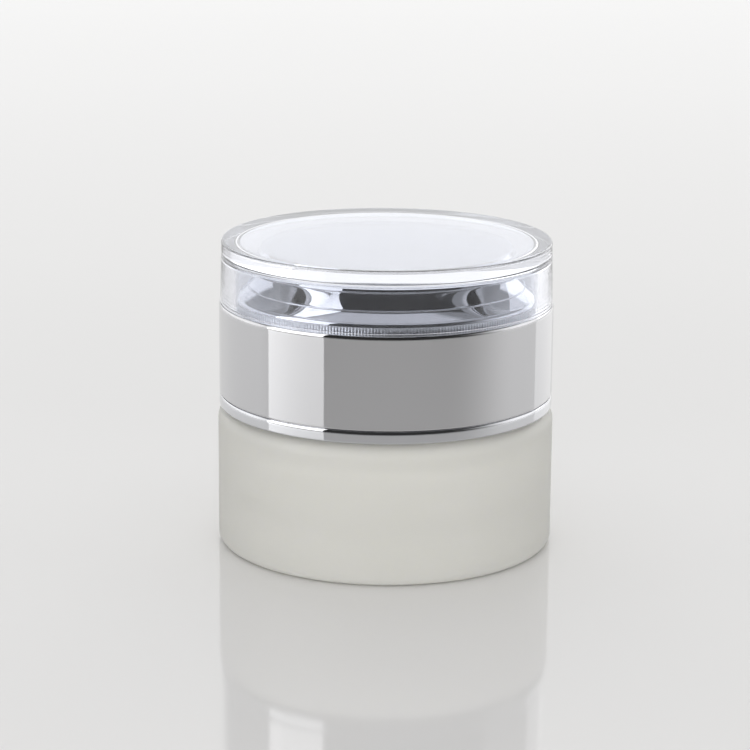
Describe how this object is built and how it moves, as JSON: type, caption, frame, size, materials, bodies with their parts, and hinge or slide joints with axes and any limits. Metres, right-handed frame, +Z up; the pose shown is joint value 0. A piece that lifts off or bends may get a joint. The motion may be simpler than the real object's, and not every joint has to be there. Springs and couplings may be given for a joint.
{
  "type": "cosmetic cream jar",
  "caption": "Round frosted glass cream jar with a screw lid: clear cover over a flared mirror, metal sleeve, threaded inner cap, foam liner and pull-ring disc.",
  "frame": {"origin": "centre of the jar's base, on the plane that it stands on", "axes": "+Z up along the jar's axis; the two thread starts of the neck begin on +X and -X; the disc's pull ring is held on its -X side"},
  "size_m": [0.0612, 0.0612, 0.056],
  "materials": {
    "frosted_glass": "acid-etched satin",
    "disc_plastic": "moulded polypropylene",
    "liner_foam": "fine closed-cell foam",
    "cap_plastic": "moulded polypropylene",
    "metallised_plastic": "vacuum-metallised mirror",
    "polished_aluminium": "bright polished",
    "clear_acrylic": "clear polished acrylic"
  },
  "bodies": {
    "jar": {"frosted_jar": "frosted_glass"},
    "disc": {"inner_disc": "disc_plastic"},
    "liner": {"seal_liner": "liner_foam"},
    "lid": {"threaded_cap": "cap_plastic", "mirror_shell": "metallised_plastic", "aluminium_sleeve": "polished_aluminium", "clear_cover": "clear_acrylic"}
  },
  "joints": [
    {"name": "lid_lift", "type": "slide", "parent": "jar", "child": "liner", "axis": [0, 0, 1], "range_m": [0, 0.024]},
    {"name": "lid_turn", "type": "hinge", "parent": "liner", "child": "lid", "pos_m": [0, 0, 0.04], "axis": [0, 0, 1], "range_deg": [0, 1080]},
    {"name": "disc_lift", "type": "slide", "parent": "jar", "child": "disc", "axis": [0, 0, 1], "range_m": [0, 0.0072]}
  ],
  "couplings": [
    {"joint": "lid_lift", "follows": "lid_turn", "m_per_rad": 0.0012732},
    {"joint": "disc_lift", "follows": "lid_turn", "m_per_rad": 0.00038197}
  ]
}
